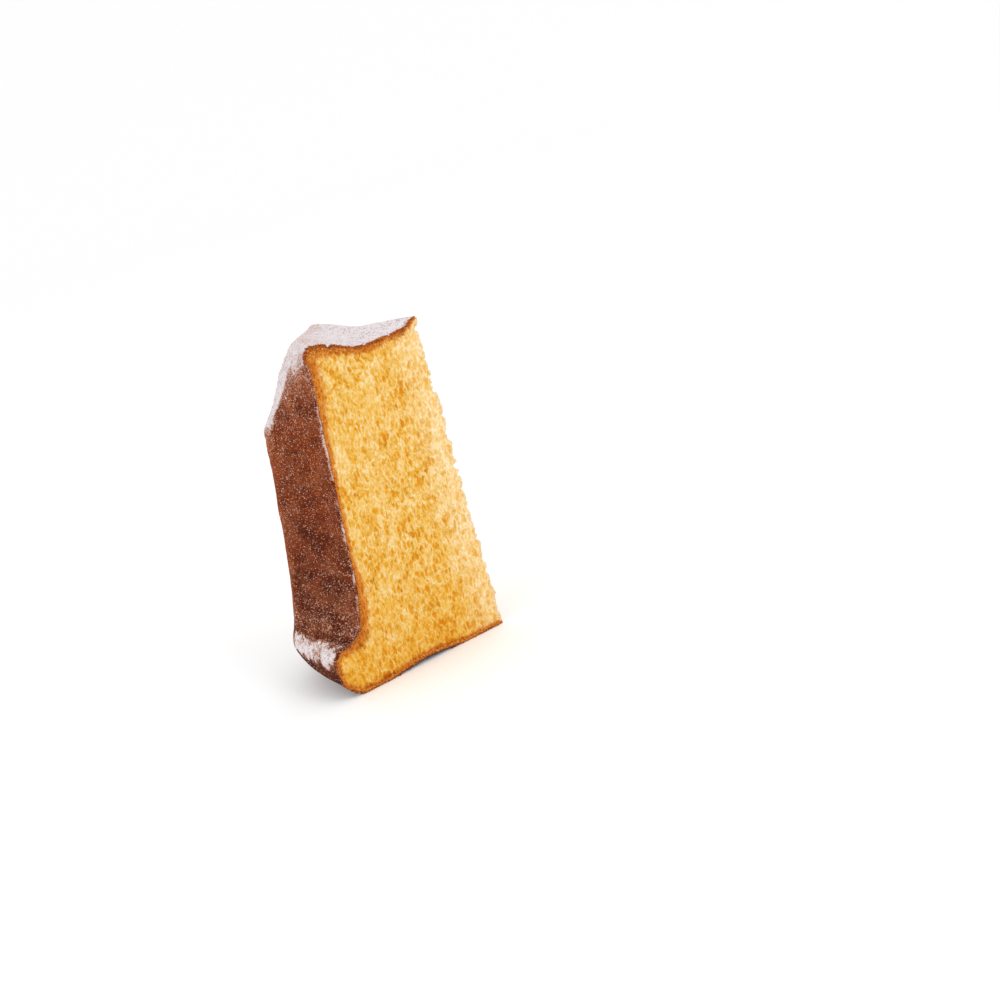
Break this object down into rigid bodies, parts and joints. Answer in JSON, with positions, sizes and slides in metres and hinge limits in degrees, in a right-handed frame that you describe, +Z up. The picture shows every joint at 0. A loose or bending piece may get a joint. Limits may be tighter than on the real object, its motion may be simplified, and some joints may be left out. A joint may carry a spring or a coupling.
{
  "type": "pandoro slice",
  "caption": "Upright slice of a tall star-shaped pandoro cake, with browned crust, sugared top, a lip round the base and open golden crumb.",
  "frame": {"origin": "middle of the slice's box, at the level of the base that it stands on", "axes": "+Z up along the cake's axis; -X out through the crusted star point; the thin edge where the two cuts meet is on the +X side; +Y towards one cut and -Y towards the other"},
  "size_m": [0.1104, 0.075, 0.1816],
  "materials": {
    "crumb": "soft open golden-yellow cake crumb, matt and slightly translucent",
    "crust": "thin reddish-brown baked crust, satin, dusted with icing sugar",
    "icing_sugar": "fine matt white icing sugar"
  },
  "bodies": {
    "root": {"pandoro_slice": "crumb"}
  },
  "joints": []
}
